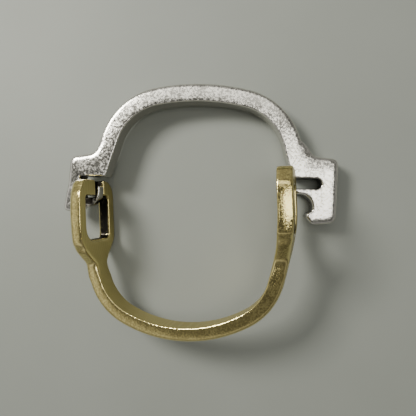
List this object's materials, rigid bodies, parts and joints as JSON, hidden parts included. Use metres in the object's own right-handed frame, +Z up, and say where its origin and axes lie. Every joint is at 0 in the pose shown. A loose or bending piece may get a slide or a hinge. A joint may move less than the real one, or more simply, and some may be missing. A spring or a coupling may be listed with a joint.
{
  "type": "metal disentanglement puzzle",
  "caption": "Cast metal linked-ring puzzle: a silver arch with hooked ends, caught through the eye of a golden U-shaped piece, to be taken apart and rejoined by hand.",
  "frame": {"origin": "on the surface the puzzle lies on, under the middle of the pair's bounding box", "axes": "+Z up from the surface, +Y towards the crown of the silver arch, +X towards its slotted block; the gold piece's eyes stand parallel to Y"},
  "size_m": [0.0648, 0.0582, 0.0215],
  "materials": {
    "silver_metal": "tumbled bright nickel plate, satin speckle with polished edges",
    "gold_metal": "polished antique gold plate, faint satin speckle"
  },
  "bodies": {
    "silver_piece": {"silver_hooked_arch": "silver_metal"},
    "gold_piece": {"gold_eyed_loop": "gold_metal"}
  },
  "joints": [
    {"name": "gold_lift", "type": "hinge", "parent": "silver_piece", "child": "gold_piece", "pos_m": [-0.02304, 0, 0.0049], "axis": [0, -1, 0], "range_deg": [0, 10]}
  ]
}
